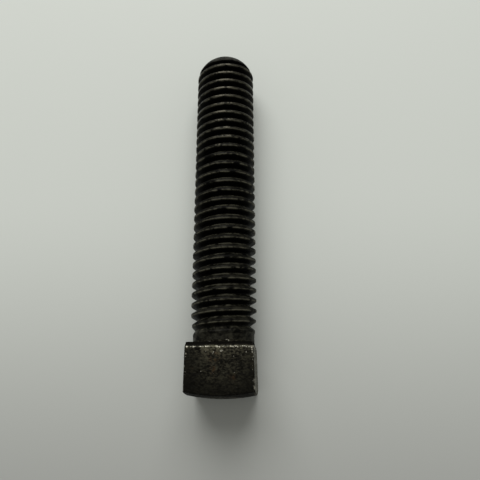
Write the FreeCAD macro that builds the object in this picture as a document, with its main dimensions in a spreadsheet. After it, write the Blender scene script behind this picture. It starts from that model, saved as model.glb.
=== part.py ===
import FreeCAD, Part
import Sketcher
import math
import os

# Square head adjusting bolt, one piece of black steel: a crowned square head, a short plain neck,
# a coarse right hand thread along the whole shank and a domed point that bears on the work.
# The origin is on the shank's axis in the plane of the head's bearing face. +X runs along the
# shank to the point, and +Z is the flat of the head that faces up as the bolt lies.

vector = FreeCAD.Vector

# Every driving size, in millimetres, degrees or turns.
driving_sizes = (
    ("head_width", 12.8, "head across its flats"),
    ("head_height", 10.0, "bearing face to the top of the crown"),
    ("crown_radius", 31.75, "radius of the crowned end of the head"),
    ("corner_round", 0.4, "radius of the head's four long edges"),
    ("bevel_length", 0.78, "bevel around the bearing face, along the shank"),
    ("bevel_depth", 0.5, "the same bevel, across the shank"),
    ("neck_diameter", 11.65, "plain neck between head and thread"),
    ("neck_length", 0.9, "bearing face to where the groove of the thread begins"),
    ("neck_step", 0.05, "how far the first ring of the thread lies below the neck"),
    ("shank_length", 63.5, "bearing face to the tip of the point"),
    ("major_diameter", 12.7, "thread over its crests"),
    ("pitch", 1.9538, "one turn of the thread along the axis"),
    ("crest_flat", 0.244, "flat on top of the thread, along the axis"),
    ("root_flat", 0.488, "flat between two threads, along the axis"),
    ("flank_angle", 30.0, "slope of each flank against the radius"),
    ("crest_station", 1.24, "place along the axis where a crest crosses the upper side"),
    ("crest_start", 1.85, "bearing face to where the crests begin to stand proud of the neck"),
    ("runout_turns", 1.2, "turns over which crests and grooves grow to their full size"),
    ("dome_height", 5.0, "length of the domed point"),
    ("dome_cap", 0.2, "height of the small cone in the middle of the dome"),
    ("sides_per_turn", 32, "flat sides in one turn of the thread"),
)

doc = FreeCAD.newDocument("adjusting_bolt")
sheet = doc.addObject("Spreadsheet::Sheet", "sizes")
for row, (alias, value, meaning) in enumerate(driving_sizes, start=1):
    sheet.set("A%d" % row, meaning)
    sheet.set("B%d" % row, str(value))
    sheet.setAlias("B%d" % row, alias)
doc.recompute()

near = 1e-4  # two places closer than this are the same


# Sketch helpers. A sketch numbers its own level axis -1, its upright axis -2 and its origin -1, 1

def origin_feature(body, role):
    return next(item for item in body.Origin.OriginFeatures if item.Role == role)


def add_sketch(body, name, plane):
    sketch = body.newObject("Sketcher::SketchObject", name)
    sketch.AttachmentSupport = [(origin_feature(body, plane), "")]
    sketch.MapMode = "FlatFace"
    return sketch


def join_ends(sketch, count):
    # each piece of the closed outline starts where the one before it ends
    for here in range(count):
        sketch.addConstraint(Sketcher.Constraint("Coincident", here, 2, (here + 1) % count, 1))


def align(sketch, kind, pieces):
    for piece in pieces:
        sketch.addConstraint(Sketcher.Constraint(kind, piece))


def dimension(sketch, name, expression, kind, *where):
    number = sketch.addConstraint(Sketcher.Constraint(kind, *where))
    sketch.renameConstraint(number, name)
    sketch.setExpression("Constraints." + name, expression)


def edges_where(shape, test):
    # names of the edges whose two ends pass the test
    return ["Edge%d" % number for number, edge in enumerate(shape.Edges, start=1)
            if len(edge.Vertexes) == 2 and test(*(end.Point for end in edge.Vertexes))]


def same(first, second):
    return abs(first - second) < near


# Head: turned as a blank with a crowned end, four flats cut around the axis, then the neck added

def turned_outline(body):
    sketch = add_sketch(body, "turned_outline", "XY_Plane")
    blank = sheet.head_width
    centre = vector(sheet.crown_radius - sheet.head_height, 0, 0)
    sweep = math.asin(blank / sheet.crown_radius)
    crown = Part.ArcOfCircle(Part.Circle(centre, vector(0, 0, 1), sheet.crown_radius), math.pi - sweep, math.pi)
    corners = [
        vector(-sheet.head_height, 0, 0),
        vector(0, 0, 0),
        vector(0, blank, 0),
        crown.StartPoint,
    ]
    for here, there in zip(corners, corners[1:]):
        sketch.addGeometry(Part.LineSegment(here, there), False)
    sketch.addGeometry(crown, False)
    axis, bearing, side, arc = range(4)
    join_ends(sketch, 4)
    align(sketch, "Horizontal", (side,))
    align(sketch, "Vertical", (bearing,))
    sketch.addConstraint(Sketcher.Constraint("Coincident", axis, 2, -1, 1))
    sketch.addConstraint(Sketcher.Constraint("PointOnObject", axis, 1, -1))
    sketch.addConstraint(Sketcher.Constraint("PointOnObject", arc, 3, -1))
    dimension(sketch, "crown", "sizes.crown_radius", "Radius", arc, sheet.crown_radius)
    dimension(sketch, "height", "sizes.head_height", "DistanceX", axis, 1, axis, 2, sheet.head_height)
    # the blank is wider than the corners of the square that is cut from it
    dimension(sketch, "blank", "sizes.head_width", "DistanceY", bearing, 1, bearing, 2, blank)
    return sketch


def flat_outline(body):
    # the waste outside the upper flat, seen along the shank
    sketch = add_sketch(body, "flat_outline", "YZ_Plane")
    half = sheet.head_width / 2
    reach = sheet.head_width
    corners = [vector(-reach, half, 0), vector(reach, half, 0), vector(reach, reach, 0), vector(-reach, reach, 0)]
    for here, there in zip(corners, corners[1:] + corners[:1]):
        sketch.addGeometry(Part.LineSegment(here, there), False)
    flat, right, top, left = range(4)
    join_ends(sketch, 4)
    align(sketch, "Horizontal", (top,))
    align(sketch, "Vertical", (right, left))
    sketch.addConstraint(Sketcher.Constraint("Symmetric", flat, 1, flat, 2, -2))
    dimension(sketch, "half_width", "sizes.head_width / 2", "DistanceY", -1, 1, flat, 2, half)
    dimension(sketch, "top", "sizes.head_width", "DistanceY", -1, 1, top, 1, reach)
    dimension(sketch, "side", "sizes.head_width", "DistanceX", -1, 1, flat, 2, reach)
    return sketch


def bevel_outline(body):
    # the waste outside the bevel of the upper flat, seen from the side; its long side runs through
    # the bevel and on as far again at both ends
    sketch = add_sketch(body, "bevel_outline", "XZ_Plane")
    half = sheet.head_width / 2
    length, depth = sheet.bevel_length, sheet.bevel_depth
    corners = [
        vector(-2 * length, half + depth, 0),
        vector(length, half - 2 * depth, 0),
        vector(length, half + depth, 0),
    ]
    for here, there in zip(corners, corners[1:] + corners[:1]):
        sketch.addGeometry(Part.LineSegment(here, there), False)
    bevel, end, top = range(3)
    join_ends(sketch, 3)
    align(sketch, "Horizontal", (top,))
    align(sketch, "Vertical", (end,))
    dimension(sketch, "length", "3 * sizes.bevel_length", "DistanceX", bevel, 1, top, 1, 3 * length)
    dimension(sketch, "depth", "3 * sizes.bevel_depth", "DistanceY", bevel, 2, top, 1, 3 * depth)
    dimension(sketch, "end", "sizes.bevel_length", "DistanceX", -1, 1, top, 1, length)
    dimension(sketch, "top", "sizes.head_width / 2 + sizes.bevel_depth", "DistanceY", -1, 1, top, 1, half + depth)
    return sketch


def neck_outline(body):
    sketch = add_sketch(body, "neck_outline", "YZ_Plane")
    radius = sheet.neck_diameter / 2
    circle = sketch.addGeometry(Part.Circle(vector(0, 0, 0), vector(0, 0, 1), radius), False)
    sketch.addConstraint(Sketcher.Constraint("Coincident", circle, 3, -1, 1))
    dimension(sketch, "radius", "sizes.neck_diameter / 2", "Radius", circle, radius)
    return sketch


def cut_around(body, name, outline):
    # one cut right across the head, repeated on all four sides
    before = body.Shape.Volume
    cut = body.newObject("PartDesign::Pocket", name)
    cut.Profile = outline
    cut.Type = "ThroughAll"
    cut.Midplane = True
    doc.recompute()

    cuts = body.newObject("PartDesign::PolarPattern", name + "s")
    cuts.Originals = [cut]
    cuts.Axis = (origin_feature(body, "X_Axis"), [""])
    cuts.Angle = 360
    cuts.Occurrences = 4
    body.Tip = cuts
    doc.recompute()
    if not cuts.Shape.Volume < cut.Shape.Volume < before:
        raise RuntimeError("the cut %s takes nothing off the head" % name)
    return cuts


def build_head():
    body = doc.addObject("PartDesign::Body", "head")

    blank = body.newObject("PartDesign::Revolution", "blank")
    blank.Profile = turned_outline(body)
    blank.ReferenceAxis = (blank.Profile[0], ["H_Axis"])
    blank.Angle = 360
    doc.recompute()

    flats = cut_around(body, "flat", flat_outline(body))

    corners = body.newObject("PartDesign::Fillet", "corners")
    corners.Base = (flats, edges_where(flats.Shape, lambda a, b: same(a.y, b.y) and same(a.z, b.z)))
    corners.setExpression("Radius", "sizes.corner_round")
    doc.recompute()
    if not corners.Shape.Volume < flats.Shape.Volume:
        raise RuntimeError("the long edges of the head are not rounded")

    cut_around(body, "bevel", bevel_outline(body))

    neck = body.newObject("PartDesign::Pad", "neck")
    neck.Profile = neck_outline(body)
    neck.SideType = "Two sides"
    neck.setExpression("Length", "sizes.neck_length")
    neck.setExpression("Length2", "sizes.bevel_length")
    doc.recompute()
    if not neck.Shape.BoundBox.XMax > near:
        raise RuntimeError("the neck points into the head")
    return body


# Shank: a helical thread made of flat sides, which fades into the neck and ends in the dome

def dome_limit(x):
    # largest radius that the domed point leaves at this place along the axis
    half = sheet.major_diameter / 2
    radius = (half ** 2 + sheet.dome_height ** 2) / (2 * sheet.dome_height)
    behind_tip = sheet.shank_length - x
    if behind_tip >= sheet.dome_height:
        return half
    return math.sqrt(radius ** 2 - (radius - behind_tip) ** 2)


def grown(beyond):
    # share of its full size that crest or groove has this far beyond its start
    return min(max(beyond / (sheet.runout_turns * sheet.pitch), 0), 1)


def shank_radius(x, crest_share):
    # crest_share is 1 on a crest and 0 at a root
    start = sheet.neck_diameter / 2 - sheet.neck_step
    crest = sheet.major_diameter / 2
    flank_width = (sheet.pitch - sheet.crest_flat - sheet.root_flat) / 2
    root = crest - flank_width / math.tan(math.radians(sheet.flank_angle))
    crest = start + (crest - start) * grown(x - sheet.crest_start)
    root = start + (root - start) * grown(x - sheet.neck_length)
    return min(root + (crest - root) * crest_share, dome_limit(x))


def build_shank():
    sides = int(sheet.sides_per_turn)
    step = sheet.pitch / sides
    first_ring = sheet.neck_length / 2
    last_ring = sheet.shank_length - sheet.dome_cap
    turns_before = math.ceil((sheet.crest_station - first_ring) / sheet.pitch) + 1
    first_row = sheet.crest_station - turns_before * sheet.pitch
    turns = math.ceil((sheet.shank_length - first_row) / sheet.pitch) + 1
    flank_width = (sheet.pitch - sheet.crest_flat - sheet.root_flat) / 2
    # places along the axis, and shares of the crest's height, of the four corners of one thread
    profile = (
        (-sheet.crest_flat / 2, 1),
        (sheet.crest_flat / 2, 1),
        (sheet.crest_flat / 2 + flank_width, 0),
        (sheet.crest_flat / 2 + flank_width + sheet.root_flat, 0),
    )
    points = []
    numbers = {}
    facets = []

    def corner(row, place):
        # number of the point at this row of the helix; past either end it is on that end's ring
        along, crest_share = profile[place]
        x = first_row + step * row + along
        key = (row, place)
        if x < first_ring + step / 2:
            key = ("first", row % sides)
            x = first_ring
        if x > last_ring - step / 2:
            key = ("last", row % sides)
            x = last_ring
        if key not in numbers:
            angle = 2 * math.pi * row / sides
            radius = shank_radius(x, crest_share)
            numbers[key] = len(points)
            points.append(vector(x, -radius * math.sin(angle), radius * math.cos(angle)))
        return numbers[key]

    def add_facet(*corners):
        if len(set(corners)) == 3:
            facets.append(corners)

    for row in range(turns * sides):
        for place in range(4):
            after = (row + sides, 0) if place == 3 else (row, place + 1)
            here, there = corner(row, place), corner(*after)
            next_there, next_here = corner(after[0] + 1, after[1]), corner(row + 1, place)
            add_facet(here, there, next_there)
            add_facet(here, next_there, next_here)

    # the rings at both ends are closed by a fan of facets around a point on the axis
    for ring, x in (("first", first_ring), ("last", sheet.shank_length)):
        middle = len(points)
        points.append(vector(x, 0, 0))
        for side in range(sides):
            pair = (numbers[ring, side], numbers[ring, (side + 1) % sides])
            add_facet(middle, *(pair if ring == "first" else reversed(pair)))

    shell = Part.Shape()
    shell.makeShapeFromMesh((points, facets), near)
    return Part.makeSolid(shell)


head = build_head()
shank = doc.addObject("Part::Feature", "threaded_shank")
shank.Shape = build_shank()
shank.Placement = FreeCAD.Placement()

bolt = doc.addObject("Part::Fuse", "bolt")
bolt.Label = "bolt"
bolt.Base = head
bolt.Tool = shank
bolt.Refine = False
bolt.Placement = FreeCAD.Placement()
doc.recompute()

# Every object is sound, and the bolt is one closed solid, before anything is written
faulty = [item.Label for item in doc.Objects if "Invalid" in item.State or "Error" in item.State]
if faulty:
    raise RuntimeError("these failed: " + ", ".join(faulty))
if shank.Shape.Volume <= 0:
    raise RuntimeError("the threaded shank is inside out")
os.makedirs("parts", exist_ok=True)
for node in (bolt,):
    if node.Shape.isNull() or not node.Shape.isValid() or len(node.Shape.Solids) != 1:
        raise RuntimeError(node.Label + " is not one sound solid")
    node.Shape.exportStep("parts/" + node.Label + ".step")
    print(node.Label, "volume", round(node.Shape.Volume, 1), "box", node.Shape.BoundBox)
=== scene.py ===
import math

import bpy
from mathutils import Matrix, Vector, noise


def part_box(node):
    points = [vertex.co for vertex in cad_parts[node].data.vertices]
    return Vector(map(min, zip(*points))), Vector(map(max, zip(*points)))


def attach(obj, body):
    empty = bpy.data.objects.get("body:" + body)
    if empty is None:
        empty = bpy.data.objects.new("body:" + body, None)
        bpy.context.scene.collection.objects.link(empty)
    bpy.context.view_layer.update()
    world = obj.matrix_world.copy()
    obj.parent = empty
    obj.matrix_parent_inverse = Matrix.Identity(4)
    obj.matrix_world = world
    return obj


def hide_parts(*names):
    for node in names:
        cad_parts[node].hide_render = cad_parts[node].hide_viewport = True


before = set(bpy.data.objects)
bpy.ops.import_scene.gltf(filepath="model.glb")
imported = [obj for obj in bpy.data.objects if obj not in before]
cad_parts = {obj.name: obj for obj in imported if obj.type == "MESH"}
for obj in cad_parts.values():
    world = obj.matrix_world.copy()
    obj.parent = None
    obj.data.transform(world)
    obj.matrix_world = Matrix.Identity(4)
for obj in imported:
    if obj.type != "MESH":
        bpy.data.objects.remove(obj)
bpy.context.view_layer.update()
boltLow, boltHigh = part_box("bolt")
mm = 0.001

# The bolt lies along X: the bearing face of the head at 0, the crown towards -X, the point towards +X.
# The camera looks down on it, with the point at the top of the picture.


def linearShare(low, high, value):
    # 0 at low and before it, 1 at high and past it
    return min(max((value - low) / (high - low), 0), 1)


def smoothShare(low, high, value):
    share = linearShare(low, high, value)
    return share * share * (3 - 2 * share)


# Camera and light

cameraSettings = {
    "place": (-7.71 * mm, -10.22 * mm, 95.69 * mm),
    "ahead": (0.3564, 0.0686, -0.9318),   # direction of view
    "up": (0.9343, -0.0300, 0.3551),      # what is up in the picture, nearly along the shank
    "focalShare": 492.6 / 480,            # focal length as a share of the picture's width
    "shiftDown": 40 / 480,                # the picture was cropped a little low
    "sensor": 36,                         # width in mm, as Blender counts it
    "clip": (1 * mm, 10),                 # nearest and furthest distance that it sees
}


def addCamera(settings):
    data = bpy.data.cameras.new("photoCamera")
    camera = bpy.data.objects.new("photoCamera", data)
    bpy.context.collection.objects.link(camera)
    data.sensor_width = settings["sensor"]
    data.lens = data.sensor_width * settings["focalShare"]
    data.shift_y = -settings["shiftDown"]
    data.clip_start, data.clip_end = settings["clip"]
    back = -Vector(settings["ahead"]).normalized()
    up = Vector(settings["up"])
    side = up.cross(back).normalized()
    up = back.cross(side)
    turn = Matrix((side, up, back)).transposed()
    camera.matrix_world = Matrix.Translation(Vector(settings["place"])) @ turn.to_4x4()
    bpy.context.scene.camera = camera


lightSettings = {
    "windowLight": {"place": (0.46, 0.03, 0.42), "aim": (0.02, 0, 0), "size": 0.62, "watts": 3.6},
    "world": (1.0, 1.0, 0.96),
    "worldStrength": 0.33,
}


def addSoftLight(name, settings):
    data = bpy.data.lights.new(name, "AREA")
    data.shape = "DISK"
    data.size = settings["size"]
    data.energy = settings["watts"]
    lamp = bpy.data.objects.new(name, data)
    bpy.context.collection.objects.link(lamp)
    place = Vector(settings["place"])
    lamp.location = place
    lamp.rotation_euler = (Vector(settings["aim"]) - place).to_track_quat("-Z", "Y").to_euler()


def addWorld(settings):
    world = bpy.data.worlds.new("paleRoom")
    bpy.context.scene.world = world
    world.use_nodes = True
    background = world.node_tree.nodes["Background"]
    background.inputs["Color"].default_value = (*settings["world"], 1)
    background.inputs["Strength"].default_value = settings["worldStrength"]


bpy.context.scene.view_settings.view_transform = "Standard"
addCamera(cameraSettings)
addWorld(lightSettings)
addSoftLight("windowLight", lightSettings["windowLight"])
print("camera and light ready")


# Bolt mesh: crown, head, bevel, bearing face, neck, helical thread and domed point in one closed surface

class Surface:
    # gathers points, how bare each is, how dark with grime and painted shade, how rusty, how light its
    # film, and the faces between rings of points

    def __init__(self):
        self.points = []
        self.bare = []
        self.grimeAndShade = []
        self.rust = []
        self.filmLightness = []
        self.faces = []

    def addPoint(self, place, bare=0.0, grimeAndShade=0.0):
        self.points.append(Vector(place))
        self.bare.append(bare)
        self.grimeAndShade.append(grimeAndShade)
        self.rust.append(0.0)
        self.filmLightness.append(0.0)
        return len(self.points) - 1

    def addRing(self, places, bare=0.0, grimeAndShade=0.0):
        bares = bare if isinstance(bare, list) else [bare] * len(places)
        return [self.addPoint(place, wear, grimeAndShade) for place, wear in zip(places, bares)]

    def joinRings(self, first, second):
        # a strip of faces between two closed rings, which may differ in their number of points
        if len(first) == len(second):
            for here in range(len(first)):
                there = (here + 1) % len(first)
                self.faces.append((first[here], first[there], second[there], second[here]))
            return
        onFirst, onSecond = 0, 0
        while onFirst < len(first) or onSecond < len(second):
            corners = [first[onFirst % len(first)], second[onSecond % len(second)]]
            firstLags = onFirst < len(first) and onFirst / len(first) <= onSecond / len(second)
            if onSecond == len(second) or firstLags:
                onFirst += 1
                corners.append(first[onFirst % len(first)])
            else:
                onSecond += 1
                corners.append(second[onSecond % len(second)])
            self.faces.append(tuple(corners))

    def extend(self, ring, places, bare=0.0, grimeAndShade=0.0):
        # a new ring, joined to the one before it
        fresh = self.addRing(places, bare, grimeAndShade)
        self.joinRings(ring, fresh)
        return fresh

    def closeRing(self, ring, middle):
        for here in range(len(ring)):
            self.faces.append((ring[here], ring[(here + 1) % len(ring)], middle))


headShape = {
    "onHalfFlat": 38,           # points from the middle of a flat to its rounded edge
    "onCorner": 12,             # and round that edge
    "cornerRound": 0.42 * mm,
    "topHalf": (6.36 * mm, 6.40 * mm),       # half width at the bearing end and at the crown end
    "rightHalf": (5.93 * mm, 6.12 * mm),
    "bottomHalf": (6.38 * mm, 6.40 * mm),
    "leftHalf": (6.36 * mm, 6.40 * mm),
    "bevelLong": 0.85 * mm,     # bevel around the bearing face, along the shank
    "bevelDeep": (0.58 * mm, 0.30 * mm, 0.45 * mm, 0.14 * mm),     # top, right, bottom, left
    # place along the bevel and across it as shares, then how bare it is and how dark with grime, partly
    # painted shade in the crease by the neck
    "bevelSteps": (
        (0.06, 0.06, 0.8, 0.0), (0.25, 0.27, 0.1, 0.7), (0.50, 0.50, 0.0, 1.0),
        (0.75, 0.75, 0.0, 1.0), (0.94, 0.94, 0.1, 1.0), (1.00, 1.06, 0.0, 1.0),
    ),
    "edgeSoft": 0.05 * mm,      # how far a crisp edge is broken
    "crownRadius": 31.75 * mm,
    "crownShort": 0.40 * mm,    # the hammered crown ends this far inside the full length
    "crownEdge": 0.16 * mm,     # radius of the edge between crown and flats
    "crownEdgeBare": 0.5,
    "crownGrime": 0.5,
    "longEdgeBare": (0.68, 0.60, 0.60, 0.64),    # top right, bottom right, bottom left, top left
    "bearingEdgeBare": 0.86,
    "crownRings": 30,
    "crownEdgeRings": 4,
    "lengthRings": 62,
    "bearingRings": 4,
}


def squareOutline(shape, towardsCrown, insets=(0, 0, 0, 0)):
    # the rounded square across the shank, from the middle of the upper side and then towards -Y
    halves = []
    for name, inset in zip(("topHalf", "rightHalf", "bottomHalf", "leftHalf"), insets):
        bearingEnd, crownEnd = shape[name]
        halves.append(bearingEnd + (crownEnd - bearingEnd) * towardsCrown - inset)
    top, right, bottom, left = halves[0], -halves[1], -halves[2], halves[3]
    corners = [Vector((right, top)), Vector((right, bottom)), Vector((left, bottom)), Vector((left, top))]
    outward = [Vector((0, 1)), Vector((-1, 0)), Vector((0, -1)), Vector((1, 0))]
    cornerRound = shape["cornerRound"]
    onHalfFlat, onCorner = shape["onHalfFlat"], shape["onCorner"]
    outline = []
    for number, corner in enumerate(corners):
        before, after = outward[number], outward[(number + 1) % 4]
        middleBefore = (corners[number - 1] + corner) / 2
        middleAfter = (corner + corners[(number + 1) % 4]) / 2
        centre = corner - (before + after) * cornerRound
        start, end = centre + before * cornerRound, centre + after * cornerRound
        for step in range(onHalfFlat):
            outline.append(middleBefore.lerp(start, step / onHalfFlat))
        for step in range(onCorner):
            angle = math.pi / 2 * step / onCorner
            outline.append(centre + (before * math.cos(angle) + after * math.sin(angle)) * cornerRound)
        for step in range(onHalfFlat):
            outline.append(end.lerp(middleAfter, step / onHalfFlat))
    return outline


def circleOutline(radius, count):
    turns = [2 * math.pi * step / count for step in range(count)]
    return [Vector((-radius * math.sin(turn), radius * math.cos(turn))) for turn in turns]


def crownStation(shape, point):
    # where the crowned end lies along the shank, above this point of the square
    radius = shape["crownRadius"]
    return boltLow.x + shape["crownShort"] + radius - math.sqrt(radius ** 2 - point.length_squared)


def addCrown(surface, shape, inner):
    # from the middle outwards
    middle = surface.addPoint((boltLow.x + shape["crownShort"], 0, 0))
    ring = None
    for number in range(1, shape["crownRings"] + 1):
        share = number / shape["crownRings"]
        places = [(crownStation(shape, point * share), *(point * share)) for point in inner]
        if ring:
            ring = surface.extend(ring, places, 0, shape["crownGrime"])
        else:
            ring = surface.addRing(places, 0, shape["crownGrime"])
            surface.closeRing(ring, middle)
    return ring


def addCrownEdge(surface, shape, ring, inner, outline):
    # the rounded edge between crown and flats
    for step in range(1, shape["crownEdgeRings"] + 1):
        turn = math.pi / 2 * step / shape["crownEdgeRings"]
        places = []
        for inside, outside in zip(inner, outline):
            point = inside.lerp(outside, math.sin(turn))
            past = shape["crownEdge"] * (1 - math.cos(turn))
            places.append((crownStation(shape, inside) + past, *point))
        bare = math.sin(2 * turn) * shape["crownEdgeBare"]
        ring = surface.extend(ring, places, bare, shape["crownGrime"])
    return ring


def longEdgeWear(shape):
    # how bare each point around the head is, most in the middle of each rounded edge
    wear = []
    for edgeBare in shape["longEdgeBare"]:
        for place in range(2 * shape["onHalfFlat"] + shape["onCorner"]):
            acrossEdge = linearShare(0, shape["onCorner"], place - shape["onHalfFlat"])
            wear.append(math.sin(math.pi * acrossEdge) * edgeBare)
    return wear


def addFlats(surface, shape, ring):
    flatStart = [surface.points[number].x for number in ring]
    flatEnd = -shape["bevelLong"] - shape["edgeSoft"]
    wear = longEdgeWear(shape)
    for number in range(1, shape["lengthRings"] + 1):
        share = number / shape["lengthRings"]
        outline = squareOutline(shape, 1 - share)
        places = [(start + (flatEnd - start) * share, *point) for start, point in zip(flatStart, outline)]
        if number == shape["lengthRings"]:
            wear = [max(bare, shape["bearingEdgeBare"]) for bare in wear]
        ring = surface.extend(ring, places, wear)
    return ring


def addBevel(surface, shape, ring, clearance):
    # down to the bearing face, never inside the neck
    for along, across, bare, grimeAndShade in shape["bevelSteps"]:
        places = []
        for point in squareOutline(shape, 0, [deep * across for deep in shape["bevelDeep"]]):
            if point.length < clearance:
                point = point * (clearance / point.length)
            places.append((-shape["bevelLong"] * (1 - along), *point))
        ring = surface.extend(ring, places, bare, grimeAndShade)
    return ring


def addBearingFace(surface, shape, ring, clearance):
    # from the square rim in to the neck
    rim = [surface.points[number].yz for number in ring]
    circle = circleOutline(clearance, len(ring))
    for number in range(1, shape["bearingRings"] + 1):
        share = number / shape["bearingRings"]
        places = [(0, *point.lerp(goal, share)) for point, goal in zip(rim, circle)]
        ring = surface.extend(ring, places, 0, 1)
    return ring


def buildHead(surface, shape, neckRadius):
    outline = squareOutline(shape, 1)
    inner = squareOutline(shape, 1, (shape["crownEdge"],) * 4)
    clearance = neckRadius + shape["edgeSoft"]
    ring = addCrown(surface, shape, inner)
    ring = addCrownEdge(surface, shape, ring, inner, outline)
    ring = addFlats(surface, shape, ring)
    ring = addBevel(surface, shape, ring, clearance)
    return addBearingFace(surface, shape, ring, clearance)


threadShape = {
    "perTurn": 96,              # points round one turn
    "crest": 6.30 * mm,         # radii
    "root": 5.08 * mm,
    "neck": 5.80 * mm,
    "pitch": 1.9538 * mm,
    "crestStation": 1.64 * mm,  # a crest crosses the upper side here
    "neckRings": (0.04 * mm, 0.14 * mm, 0.27 * mm, 0.39 * mm),
    "firstRing": 0.42 * mm,     # where the helix takes over from the neck's rings
    "crestFade": (1.0 * mm, 5.4 * mm),   # where the crests begin to stand proud, and where they are full
    "rootFade": (1.3 * mm, 3.3 * mm),    # where the grooves begin, and where they are full
    "domeHeight": 4.9 * mm,
    "tipShort": 0.02 * mm,      # the worn point ends this far inside the full length
    "capHeight": 0.03 * mm,     # the helix ends this far before the tip
    "bareFade": (22 * mm, 46 * mm),      # from where to where the crests grow barer towards the point
    "finishFade": (1.6 * mm, 3.6 * mm),  # where the finish of the neck gives way to that of the thread
    "neckLightness": 0.26,
    "domeFinish": (0.38, 0.25),          # how bare the domed point is, and how light its film
    # place along one pitch from the middle of the crest, height above the root as a share,
    # how bare by the head, how bare at the point, how light the film is (painted light)
    # the last column paints light: the lines at the crest's head-side edge and at the root are painted
    # highlights, and the flank towards the point is lighter than the flank towards the head as painted
    # light from the lamp's side
    "profile": (
        (-0.120, 0.950, 0.2, 0.3, 0.8), (-0.090, 1.000, 0.2, 0.6, 2.8), (-0.050, 1.005, 0.2, 0.8, 0.6),
        (0.000, 1.005, 0.0, 0.8, 0.2), (0.095, 1.000, 0.0, 0.8, 0.1), (0.130, 0.950, 0.0, 0.6, 0.2),
        (0.200, 0.740, 0.0, 0.0, 0.1), (0.280, 0.500, 0.0, 0.0, 0.2), (0.355, 0.270, 0.0, 0.0, 0.7),
        (0.425, 0.060, 0.0, 0.0, 1.8), (0.475, 0.000, 0.0, 0.0, 1.0), (0.525, 0.000, 0.0, 0.0, 0.0),
        (0.580, 0.060, 0.0, 0.0, 0.0), (0.650, 0.270, 0.0, 0.0, 0.0), (0.730, 0.500, 0.0, 0.0, 0.0),
        (0.805, 0.740, 0.0, 0.0, 0.0),
    ),
}


def buildNeck(surface, shape, ring):
    circle = circleOutline(shape["neck"], shape["perTurn"])
    for x in shape["neckRings"]:
        ring = surface.extend(ring, [(x, *point) for point in circle])
        for number in ring:
            surface.filmLightness[number] = shape["neckLightness"]
    return ring


def domeLimit(shape, x):
    # the largest radius that the domed point leaves at this station
    radius = (shape["crest"] ** 2 + shape["domeHeight"] ** 2) / (2 * shape["domeHeight"])
    behindTip = boltHigh.x - shape["tipShort"] - x
    if behindTip >= shape["domeHeight"]:
        return shape["crest"]
    return math.sqrt(max(radius ** 2 - (radius - behindTip) ** 2, 0))


def threadRadius(shape, x, height):
    crest = shape["neck"] + (shape["crest"] - shape["neck"]) * linearShare(*shape["crestFade"], x)
    root = shape["neck"] + (shape["root"] - shape["neck"]) * linearShare(*shape["rootFade"], x)
    return min(root + (crest - root) * height, domeLimit(shape, x))


def buildShank(surface, shape, ring):
    perTurn, pitch, profile = shape["perTurn"], shape["pitch"], shape["profile"]
    step = pitch / perTurn
    tipStation = boltHigh.x - shape["tipShort"]
    domeStation = tipStation - shape["domeHeight"]
    firstRing, lastRing = shape["firstRing"], tipStation - shape["capHeight"]
    turnsBefore = math.ceil((shape["crestStation"] - firstRing) / pitch) + 1
    firstRow = shape["crestStation"] - turnsBefore * pitch
    rows = (math.ceil((boltHigh.x - firstRow) / pitch) + 1) * perTurn
    numbers = {}

    def corner(row, place):
        # a point of the helix; past either end it lies on that end's ring
        along, height, bareByHead, bareAtPoint, filmLightness = profile[place]
        x = firstRow + step * row + along * pitch
        key = (row, place)
        if x < firstRing + step / 2:
            key, x = ("first", row % perTurn), firstRing
        if x > lastRing - step / 2:
            key, x = ("last", row % perTurn), lastRing
        if key not in numbers:
            turn = 2 * math.pi * row / perTurn
            radius = threadRadius(shape, x, height)
            onThread = linearShare(*shape["finishFade"], x)
            bare = bareByHead + (bareAtPoint - bareByHead) * linearShare(*shape["bareFade"], x)
            if x > domeStation and radius >= domeLimit(shape, x):
                bare, filmLightness = shape["domeFinish"]
            spot = (x, -radius * math.sin(turn), radius * math.cos(turn))
            numbers[key] = surface.addPoint(spot, bare * onThread)
            surface.filmLightness[-1] = shape["neckLightness"] + (filmLightness - shape["neckLightness"]) * onThread
        return numbers[key]

    for row in range(rows):
        for place in range(len(profile)):
            nextRow, nextPlace = (row, place + 1) if place + 1 < len(profile) else (row + perTurn, 0)
            nearSide = (corner(row, place), corner(nextRow, nextPlace))
            farSide = (corner(nextRow + 1, nextPlace), corner(row + 1, place))
            face = tuple(dict.fromkeys(nearSide + farSide))
            if len(face) > 2:
                surface.faces.append(face)
    surface.joinRings(ring, [numbers["first", row] for row in range(perTurn)])
    tip = surface.addPoint((tipStation, 0, 0))
    surface.closeRing([numbers["last", row] for row in range(perTurn)], tip)


# Lightness of the film on the head

filmLightnessSettings = {
    "besideEdge": 0.95,                 # lightness of the film beside the bearing edge
    "edgeReach": 0.75 * mm,             # it falls to about a third in this distance
    "middle": 0.22,                     # lightness of the middle of each flat
    "middleFade": (3.0 * mm, 8.0 * mm),     # it fades between these distances from the bearing edge
    "least": 0.06,                      # lightness of the rest of the film
    "specks": (0.50, 0.7 * mm),         # bare specks beside the bearing edge, and how far they reach
    "leftFade": (2.0 * mm, 6.0 * mm, 0.75),     # from where to where the film darkens, and by how much
    "rightFade": (1.0 * mm, 6.0 * mm, 0.50),
    "rightPast": -5.8 * mm,             # the -Y flat lies past this place across the shank
    "paintedReflectionRightSide": (0.95, 0.70),          # lightness and bareness of that flat: its lighter film is painted reflection
    "crownPast": -5 * mm,               # grimy points past this place along the shank are on the crown
    "crownMiddle": (0.40, 3.5 * mm, 6.0 * mm),  # lightness of the crown's middle, and where it fades
}


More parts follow.
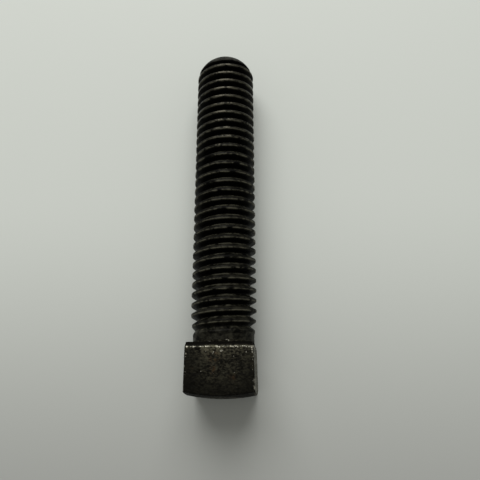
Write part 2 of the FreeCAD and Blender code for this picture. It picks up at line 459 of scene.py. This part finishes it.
def addFilmLightness(surface, settings, headPoints):
    # the film is lighter beside the bearing edge and in the middle of each face
    for number in range(headPoints):
        point = surface.points[number]
        fromEdge = max(-headShape["bevelLong"] - point.x, 0)
        across = point.y if abs(point.z) > abs(point.y) else point.z
        lightness = settings["besideEdge"] * math.exp(-fromEdge / settings["edgeReach"]) + settings["least"]
        lightness += settings["middle"] * (1 - smoothShare(*settings["middleFade"], fromEdge))
        low, high, loss = settings["leftFade" if across > 0 else "rightFade"]
        lightness *= 1 - loss * smoothShare(low, high, abs(across))
        if surface.grimeAndShade[number] > 0 and point.x < settings["crownPast"]:
            middle, low, high = settings["crownMiddle"]
            share = 1 - smoothShare(low, high, point.yz.length)
            lightness = settings["least"] + middle * share
            surface.grimeAndShade[number] *= 1 - share
        # the -Y flat's film is made lighter: painted reflection of the table beside it; it is made barer
        # too
        if point.y < settings["rightPast"] and -point.y > abs(point.z):
            lightness, bare = settings["paintedReflectionRightSide"]
            surface.bare[number] = max(surface.bare[number], bare)
        surface.filmLightness[number] = lightness
        amount, reach = settings["specks"]
        if surface.grimeAndShade[number] == 0:
            surface.bare[number] = max(surface.bare[number], amount * math.exp(-fromEdge / reach))


# Marks: dents and nicks with bare steel, pits with dirt, and brown patches; lengths in mm

marksSettings = {
    "upperLevel": 5.7,          # marks of the upper flat reach down to here
    "nickBare": 1.3,            # the finish breaks up what is bare, so edge nicks are this much barer
    # place along the shank and across it, radius, depth, how bare
    "edgeNicks": (
        (-0.89, 5.88, 0.32, 0.06, 1.7), (-0.92, 4.70, 0.32, 0.05, 1.2), (-0.91, 0.47, 0.30, 0.07, 1.1),
        (-0.92, 0.08, 0.32, 0.06, 1.2), (-0.93, -0.53, 0.26, 0.05, 1.1), (-0.81, -1.92, 0.32, 0.06, 1.0),
        (-0.93, -2.38, 0.26, 0.05, 1.0), (-0.93, -3.11, 0.30, 0.05, 1.0), (-0.96, -4.64, 0.30, 0.05, 1.2),
        (-0.97, -5.14, 0.28, 0.05, 1.3), (-0.99, -5.58, 0.34, 0.07, 1.6), (-1.42, -5.65, 0.28, 0.03, 1.3),
        (-1.86, -5.69, 0.26, 0.03, 1.3), (-2.72, -5.63, 0.22, 0.02, 0.9), (-3.12, -5.73, 0.22, 0.02, 0.8),
        (-1.62, -0.19, 0.26, 0.06, 1.9), (-1.58, -0.46, 0.20, 0.04, 1.3), (-1.79, 1.11, 0.22, 0.05, 1.5),
        (-1.73, 1.38, 0.18, 0.03, 1.1), (-1.85, -4.62, 0.24, 0.04, 1.5), (-1.69, 2.42, 0.18, 0.04, 1.4),
        (-2.07, 1.26, 0.18, 0.03, 1.0), (-1.28, 0.92, 0.18, 0.03, 1.0), (-1.34, -0.76, 0.16, 0.03, 1.0),
        (-2.55, -2.43, 0.20, 0.03, 1.1), (-1.45, -2.58, 0.16, 0.03, 1.0), (-2.40, -3.76, 0.16, 0.03, 0.9),
        (-5.00, 3.28, 0.20, 0.03, 1.1), (-5.24, -2.50, 0.20, 0.03, 1.1), (-5.32, 1.06, 0.18, 0.03, 0.9),
        (-3.80, -3.17, 0.16, 0.02, 1.0), (-2.04, 6.00, 0.30, 0.02, 1.0), (-2.54, 6.03, 0.26, 0.02, 0.8),
        (-9.08, 5.73, 0.26, 0.03, 0.9), (-5.04, 6.03, 0.20, 0.02, 0.9), (-5.53, 6.03, 0.20, 0.02, 0.8),
        (-4.10, -5.68, 0.20, 0.01, 0.85), (-4.75, -5.70, 0.22, 0.01, 0.75),
        (-5.60, -5.72, 0.20, 0.01, 0.85), (-6.55, -5.74, 0.22, 0.01, 0.75),
        (-7.40, -5.76, 0.20, 0.01, 0.80), (-8.20, -5.78, 0.22, 0.01, 0.75),
    ),
    # place along the shank and across it, radius, depth
    "pits": (
        (-4.82, 3.56, 0.42, 0.09), (-5.28, 3.85, 0.40, 0.10), (-5.19, -1.53, 0.36, 0.08),
        (-5.71, -2.01, 0.40, 0.10), (-7.85, -3.30, 0.34, 0.08), (-2.46, 1.81, 0.36, 0.08),
        (-6.47, 0.67, 0.30, 0.05), (-3.40, -3.76, 0.30, 0.05), (-7.14, 4.31, 0.34, 0.05),
    ),
    # place along the shank and across it, radius
    "brownPatches": ((-2.73, 1.10, 1.5), (-4.84, 0.99, 1.5), (-4.64, 5.19, 0.9), (-6.09, -2.28, 1.1)),
    # place along the shank, degrees round it from the top towards -Y, radius, depth, how bare
    "threadNicks": (
        (46.37, 8.5, 0.26, 0.06, 1.6), (48.40, 0.3, 0.22, 0.04, 0.9), (44.74, 16.5, 0.24, 0.05, 0.8),
        (38.59, -20.9, 0.26, 0.05, 0.9), (11.40, 33.8, 0.26, 0.05, 0.8), (55.1, -12, 0.20, 0.04, 0.6),
        (29.1, -31, 0.24, 0.05, 0.7), (21.2, 17, 0.24, 0.05, 0.7), (33.6, 140, 0.26, 0.06, 0.9),
        (15.4, 205, 0.26, 0.06, 0.9), (50.2, 250, 0.24, 0.05, 0.8), (7.6, 95, 0.26, 0.05, 0.8),
        (0.17, -24.3, 0.34, 0.05, 2.0), (0.04, -20.2, 0.34, 0.05, 2.0), (0.29, -12.2, 0.30, 0.04, 1.2),
        (0.42, 11.4, 0.30, 0.05, 1.8), (0.22, 13.9, 0.30, 0.06, 2.0), (0.03, 16.1, 0.30, 0.05, 1.8),
    ),
    # crown corner on the left: its place, the point it is knocked towards, radius and depth
    "cornerKnock": {"place": (-9.5, 6.6, 6.4), "towards": (-4, 2, 2), "radius": 1.20, "depth": 0.48},
}


def insideMark(surface, numbers, along, across, radius):
    # the points inside a round mark, each with a share that is 1 in its middle and 0 at its rim
    centre = Vector((along * mm, across * mm))
    for number in numbers:
        share = smoothShare(radius * mm, 0, (surface.points[number].xy - centre).length)
        if share > 0:
            yield number, share


def addFlatMarks(surface, settings, headPoints):
    lowest = settings["upperLevel"] * mm
    upper = [number for number in range(headPoints) if surface.points[number].z > lowest]
    for along, across, radius, depth, bare in settings["edgeNicks"]:
        for number, share in insideMark(surface, upper, along, across, radius):
            surface.points[number].z -= depth * mm * share
            surface.bare[number] = max(surface.bare[number], bare * share * settings["nickBare"])
            surface.grimeAndShade[number] *= 1 - share
    for along, across, radius, depth in settings["pits"]:
        for number, share in insideMark(surface, upper, along, across, radius):
            surface.points[number].z -= depth * mm * share
            surface.grimeAndShade[number] = max(surface.grimeAndShade[number], share)
    for along, across, radius in settings["brownPatches"]:
        for number, share in insideMark(surface, upper, along, across, radius):
            surface.rust[number] = max(surface.rust[number], share)


def addThreadNicks(surface, settings, headPoints):
    for along, degrees, radius, depth, bare in settings["threadNicks"]:
        turn = math.radians(degrees)
        outwards = Vector((0, -math.sin(turn), math.cos(turn)))
        for number in range(headPoints, len(surface.points)):
            point = surface.points[number]
            if abs(point.x - along * mm) < radius * mm:
                beside = (point - outwards * point.yz.length).yz.length
                share = smoothShare(radius * mm, 0, math.hypot(point.x - along * mm, beside))
                if share > 0:
                    surface.points[number] = point - outwards * (depth * mm * share)
                    surface.bare[number] = max(surface.bare[number], bare * share)


def addCornerKnock(surface, knock, headPoints):
    centre = Vector(knock["place"]) * mm
    outwards = (centre - Vector(knock["towards"]) * mm).normalized()
    for number in range(headPoints):
        point = surface.points[number]
        share = smoothShare(knock["radius"] * mm, 0, (point - centre).length)
        if share > 0:
            surface.points[number] = point - outwards * (knock["depth"] * mm * share)


wavesSettings = {
    "headDepth": 0.030 * mm,
    "threadDepth": 0.035 * mm,
    "broad": (350, 0.6),        # scale and share of the broad waves
    "fine": (1100, 0.4),        # and of the fine ones
    "fineShift": (3, 5, 7),     # sets the fine waves apart from the broad ones
    "noiseSpan": (-0.5, 0.5),   # the depth goes from none to full between these values of the noise
    "axisGuard": 1 * mm,        # points nearer the axis than this move less
}


def addWaves(surface, settings, headPoints):
    # every face is a little uneven; points only move towards the axis, so the sizes hold
    broadScale, broadShare = settings["broad"]
    fineScale, fineShare = settings["fine"]
    fineShift = Vector(settings["fineShift"])
    for number, point in enumerate(surface.points):
        onHead = number < headPoints
        broad = noise.noise(point * broadScale)
        fine = noise.noise(point * fineScale + fineShift)
        wave = broadShare * broad + fineShare * fine
        depth = settings["headDepth" if onHead else "threadDepth"]
        inwards = depth * linearShare(*settings["noiseSpan"], wave)
        if onHead and abs(point.y) > abs(point.z):
            point.y -= math.copysign(inwards, point.y)
        elif onHead:
            point.z -= math.copysign(inwards, point.z)
        else:
            point.yz = point.yz * (1 - inwards / max(point.yz.length, settings["axisGuard"]))


def buildBolt():
    surface = Surface()
    neckEdge = buildHead(surface, headShape, threadShape["neck"])
    headPoints = len(surface.points)
    neckRing = buildNeck(surface, threadShape, neckEdge)
    headFaces = len(surface.faces)      # the neck has the head's finish
    buildShank(surface, threadShape, neckRing)
    addFilmLightness(surface, filmLightnessSettings, headPoints)
    addFlatMarks(surface, marksSettings, headPoints)
    addThreadNicks(surface, marksSettings, headPoints)
    addCornerKnock(surface, marksSettings["cornerKnock"], headPoints)
    addWaves(surface, wavesSettings, headPoints)
    mesh = bpy.data.meshes.new("squareHeadBolt")
    mesh.from_pydata(surface.points, [], surface.faces)
    for name in ("bare", "grimeAndShade", "rust", "filmLightness"):
        mesh.attributes.new(name, "FLOAT", "POINT").data.foreach_set("value", getattr(surface, name))
    zones = [0 if number < headFaces else 1 for number in range(len(surface.faces))]
    mesh.polygons.foreach_set("material_index", zones)
    mesh.shade_smooth()
    bolt = bpy.data.objects.new("squareHeadBolt", mesh)
    bpy.context.collection.objects.link(bolt)
    triangles = sum(len(face.vertices) - 2 for face in mesh.polygons)
    print("bolt mesh:", len(mesh.vertices), "points,", triangles, "triangles")
    return bolt


bolt = buildBolt()
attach(bolt, "root")
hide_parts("bolt")


# Finishes

class NodeSet:
    # adds nodes to one node tree; an input given as a socket is linked, any other is a value

    def __init__(self, tree):
        self.tree = tree

    def add(self, kind, inputs=None, **settings):
        node = self.tree.nodes.new("ShaderNode" + kind)
        for name, value in settings.items():
            setattr(node, name, value)
        self.fill(node, inputs or {})
        return node

    def fill(self, node, inputs):
        for name, value in inputs.items():
            if isinstance(value, bpy.types.NodeSocket):
                self.tree.links.new(value, node.inputs[name])
            else:
                node.inputs[name].default_value = value

    def maths(self, operation, *values):
        return self.add("Math", dict(enumerate(values)), operation=operation).outputs[0]

    def mix(self, share, first, second):
        # inputs 6 and 7 and output 2 of a Mix node are its colours, inputs 2 and 3 its numbers
        node = self.add("Mix", data_type="RGBA")
        self.fill(node, {0: share, 6: first, 7: second})
        return node.outputs[2]

    def mixNumber(self, share, first, second):
        return self.add("Mix", {0: share, 2: first, 3: second}).outputs[0]

    def noise(self, place, scale, **details):
        # details are the noise node's inputs, such as Detail
        return self.add("TexNoise", {"Vector": place, "Scale": scale, **details}).outputs["Fac"]

    def ramp(self, value, low, high):
        # 0 below low, 1 above high, smooth between
        node = self.add("MapRange", {"Value": value, "From Min": low, "From Max": high},
                        interpolation_type="SMOOTHSTEP")
        return node.outputs["Result"]


def newGroup(name, numbers, colours, outputs):
    # a shader node group with named inputs; every material sets all of them
    tree = bpy.data.node_groups.new(name, "ShaderNodeTree")
    for label in colours:
        tree.interface.new_socket(label, in_out="INPUT", socket_type="NodeSocketColor")
    for label in numbers:
        tree.interface.new_socket(label, in_out="INPUT", socket_type="NodeSocketFloat")
    for label, kind in outputs.items():
        tree.interface.new_socket(label, in_out="OUTPUT", socket_type="NodeSocket" + kind)
    source = tree.nodes.new("NodeGroupInput").outputs
    target = tree.nodes.new("NodeGroupOutput").inputs
    return NodeSet(tree), source, target


wornPattern = {
    "patchShare": 0.62,         # how much the patches and the specks count
    "speckShare": 0.38,
    "unworn": 0.86,             # the pattern has to pass this where there is no wear
    "perWear": 0.46,            # and this much less for each unit of wear
    "rim": (-0.02, 0.10),       # softness of a bare patch's rim
}


def buildWornEdge(pattern):
    # bare steel where the attribute says so, broken up into patches and specks
    nodes, source, target = newGroup(
        "wornEdge", ("Wear", "Patch Scale", "Speck Scale", "Amount"), (), {"Mask": "Float"})
    place = nodes.add("TexCoord").outputs["Object"]
    patch = nodes.noise(place, source["Patch Scale"], Detail=3)
    speck = nodes.noise(place, source["Speck Scale"], Detail=2)
    broken = nodes.maths("MULTIPLY", patch, pattern["patchShare"])
    broken = nodes.maths("MULTIPLY_ADD", speck, pattern["speckShare"], broken)
    reach = nodes.maths("MULTIPLY", source["Wear"], source["Amount"])
    limit = nodes.maths("SUBTRACT", pattern["unworn"], nodes.maths("MULTIPLY", reach, pattern["perWear"]))
    over = nodes.maths("SUBTRACT", broken, limit)
    nodes.tree.links.new(nodes.ramp(over, *pattern["rim"]), target["Mask"])
    return nodes.tree


filmPattern = {
    "mottle": (0.40, 0.64),     # where the noise turns from dark to light
    "brown": (0.42, 0.62),      # where it turns brown in a rusty patch
    "brownFineness": 1.9,       # scale of the brown spots, as a multiple of Scale
}


def buildBlackFilm(pattern):
    # the black film on the steel: mottled dark tones, with brown where it has rusted
    nodes, source, target = newGroup(
        "blackFilm",
        ("Rust Share", "Grime And Shade", "Rubbed", "Scale", "Fine Scale", "Fine Share", "Streak Length"),
        ("Dark", "Light", "Rust"),
        {"Color": "Color", "Mottle": "Float"})
    place = nodes.add("TexCoord").outputs["Object"]
    broad = nodes.noise(place, source["Scale"], Detail=4, Roughness=0.6, Distortion=0.4)
    # fine marks are drawn out across the shank, as the tool left them
    across = nodes.maths("DIVIDE", 1, source["Streak Length"])
    stretch = nodes.add("CombineXYZ", {0: 1.0, 1: across, 2: across})
    drawn = nodes.add("VectorMath", {0: place, 1: stretch.outputs[0]}, operation="MULTIPLY").outputs[0]
    fine = nodes.noise(drawn, source["Fine Scale"], Detail=3, Roughness=0.7)
    mottle = nodes.ramp(nodes.mixNumber(source["Fine Share"], broad, fine), *pattern["mottle"])
    brown = nodes.noise(place, nodes.maths("MULTIPLY", source["Scale"], pattern["brownFineness"]), Detail=3)
    brownShare = nodes.maths("MULTIPLY", nodes.ramp(brown, *pattern["brown"]), source["Rust Share"])
    light = nodes.mix(brownShare, source["Light"], source["Rust"])
    film = nodes.mix(nodes.maths("MULTIPLY", mottle, source["Rubbed"]), source["Dark"], light)
    # grime darkens the film to Dark; on the bevel by the neck this is partly painted shade
    film = nodes.mix(source["Grime And Shade"], film, source["Dark"])
    nodes.tree.links.new(film, target["Color"])
    nodes.tree.links.new(mottle, target["Mottle"])
    return nodes.tree


hammeredPattern = {
    "pitRim": (0.05, 0.40),     # from the floor of a pit to its rim, in cells
}


def buildHammered(pattern):
    # height of the small dents and pits of a handled steel surface, in metres
    nodes, source, target = newGroup(
        "hammered", ("Dent Scale", "Dent Depth", "Pit Scale", "Pit Depth"), (), {"Height": "Float"})
    place = nodes.add("TexCoord").outputs["Object"]
    dents = nodes.noise(place, source["Dent Scale"], Detail=3, Roughness=0.55)
    cells = nodes.add("TexVoronoi", {"Vector": place, "Scale": source["Pit Scale"]}, feature="F1")
    pits = nodes.maths("SUBTRACT", 1, nodes.ramp(cells.outputs["Distance"], *pattern["pitRim"]))
    height = nodes.maths("MULTIPLY", dents, source["Dent Depth"])
    height = nodes.maths("SUBTRACT", height, nodes.maths("MULTIPLY", pits, source["Pit Depth"]))
    nodes.tree.links.new(height, target["Height"])
    return nodes.tree


groups = {
    "wornEdge": buildWornEdge(wornPattern),
    "blackFilm": buildBlackFilm(filmPattern),
    "hammered": buildHammered(hammeredPattern),
}

headFinish = {
    "name": "blackHead",
    "wornEdge": {"Patch Scale": 1100, "Speck Scale": 3600, "Amount": 1.0},
    "blackFilm": {"Dark": (0.0018, 0.0016, 0.0008, 1), "Light": (0.125, 0.116, 0.076, 1),
                  "Rust": (0.128, 0.072, 0.033, 1), "Scale": 700, "Fine Scale": 3700, "Fine Share": 0.66,
                  "Streak Length": 2.0},
    "hammered": {"Dent Scale": 1700, "Dent Depth": 0.085 * mm, "Pit Scale": 1700, "Pit Depth": 0.016 * mm},
    "bareSteel": (0.29, 0.277, 0.225, 1),
    "bareMetallic": 0.6,
    "filmRoughness": (0.34, 0.56),      # where the mottle is lightest and darkest
    "grimeRoughness": 0.85,
    "bareRoughness": 0.36,
    "gloss": 0.05,
}

threadFinish = {
    "name": "blackThread",
    "wornEdge": {"Patch Scale": 700, "Speck Scale": 2600, "Amount": 1.25},
    "blackFilm": {"Dark": (0.0008, 0.0007, 0.0003, 1), "Light": (0.100, 0.095, 0.068, 1),
                  "Rust": (0.018, 0.009, 0.005, 1), "Scale": 640, "Fine Scale": 1700, "Fine Share": 0.42,
                  "Streak Length": 2.0},
    "hammered": {"Dent Scale": 1300, "Dent Depth": 0.030 * mm, "Pit Scale": 2400, "Pit Depth": 0.006 * mm},
    "bareSteel": (0.040, 0.037, 0.028, 1),
    "bareMetallic": 1.0,
    "filmRoughness": (0.36, 0.55),
    "grimeRoughness": 0.85,
    "bareRoughness": 0.30,
    "gloss": 0.05,
}


def steelMaterial(finish):
    material = bpy.data.materials.new(finish["name"])
    material.use_nodes = True
    nodes = NodeSet(material.node_tree)
    shader = material.node_tree.nodes["Principled BSDF"]
    traits = {}
    for name in ("bare", "grimeAndShade", "rust", "filmLightness"):
        traits[name] = nodes.add("Attribute", attribute_name=name).outputs["Fac"]

    worn = nodes.add("Group", node_tree=groups["wornEdge"])
    nodes.fill(worn, {"Wear": traits["bare"], **finish["wornEdge"]})
    film = nodes.add("Group", node_tree=groups["blackFilm"])
    painted = {"Rust Share": traits["rust"], "Grime And Shade": traits["grimeAndShade"], "Rubbed": traits["filmLightness"]}
    nodes.fill(film, {**painted, **finish["blackFilm"]})
    hammered = nodes.add("Group", node_tree=groups["hammered"])
    nodes.fill(hammered, finish["hammered"])

    bareMask = worn.outputs["Mask"]
    smoothest, roughest = finish["filmRoughness"]
    roughness = nodes.maths("MULTIPLY_ADD", film.outputs["Mottle"], smoothest - roughest, roughest)
    roughness = nodes.mixNumber(traits["grimeAndShade"], roughness, finish["grimeRoughness"])
    bump = nodes.add("Bump", {"Height": hammered.outputs["Height"], "Distance": 1.0})
    nodes.fill(shader, {
        "Base Color": nodes.mix(bareMask, film.outputs["Color"], finish["bareSteel"]),
        "Metallic": nodes.maths("MULTIPLY", bareMask, finish["bareMetallic"]),
        "Roughness": nodes.mixNumber(bareMask, roughness, finish["bareRoughness"]),
        "Normal": bump.outputs["Normal"],
        "Specular IOR Level": finish["gloss"],
    })
    return material


for finish in (headFinish, threadFinish):
    bolt.data.materials.append(steelMaterial(finish))
print("finishes ready")


floorSettings = {
    "size": 1.6,
    "nearPoint": (0.640, 0.665, 0.620, 1),     # floor colour towards the point
    "paintedShadeNearHead": (0.36, 0.365, 0.345, 1),       # and darker towards the head: painted shade
    "fade": (0.035, -0.045),                   # places along X where each is reached
    "roughness": 0.75,
    "gloss": 0.2,
}


def addFloor(settings):
    half = settings["size"] / 2
    level = boltLow.z
    corners = [(-half, -half, level), (half, -half, level), (half, half, level), (-half, half, level)]
    mesh = bpy.data.meshes.new("paleTable")
    mesh.from_pydata(corners, [], [(0, 1, 2, 3)])
    floor = bpy.data.objects.new("paleTable", mesh)
    bpy.context.collection.objects.link(floor)
    material = bpy.data.materials.new("paleTable")
    material.use_nodes = True
    nodes = NodeSet(material.node_tree)
    along = nodes.add("SeparateXYZ", {0: nodes.add("TexCoord").outputs["Object"]}).outputs["X"]
    start, end = settings["fade"]
    # the floor darkens towards the head: painted shade, as of a shadow falling across that end of the table
    nodes.fill(material.node_tree.nodes["Principled BSDF"], {
        "Base Color": nodes.mix(nodes.ramp(along, end, start), settings["paintedShadeNearHead"], settings["nearPoint"]),
        "Roughness": settings["roughness"],
        "Specular IOR Level": settings["gloss"],
    })
    floor.data.materials.append(material)


addFloor(floorSettings)
print("floor ready")
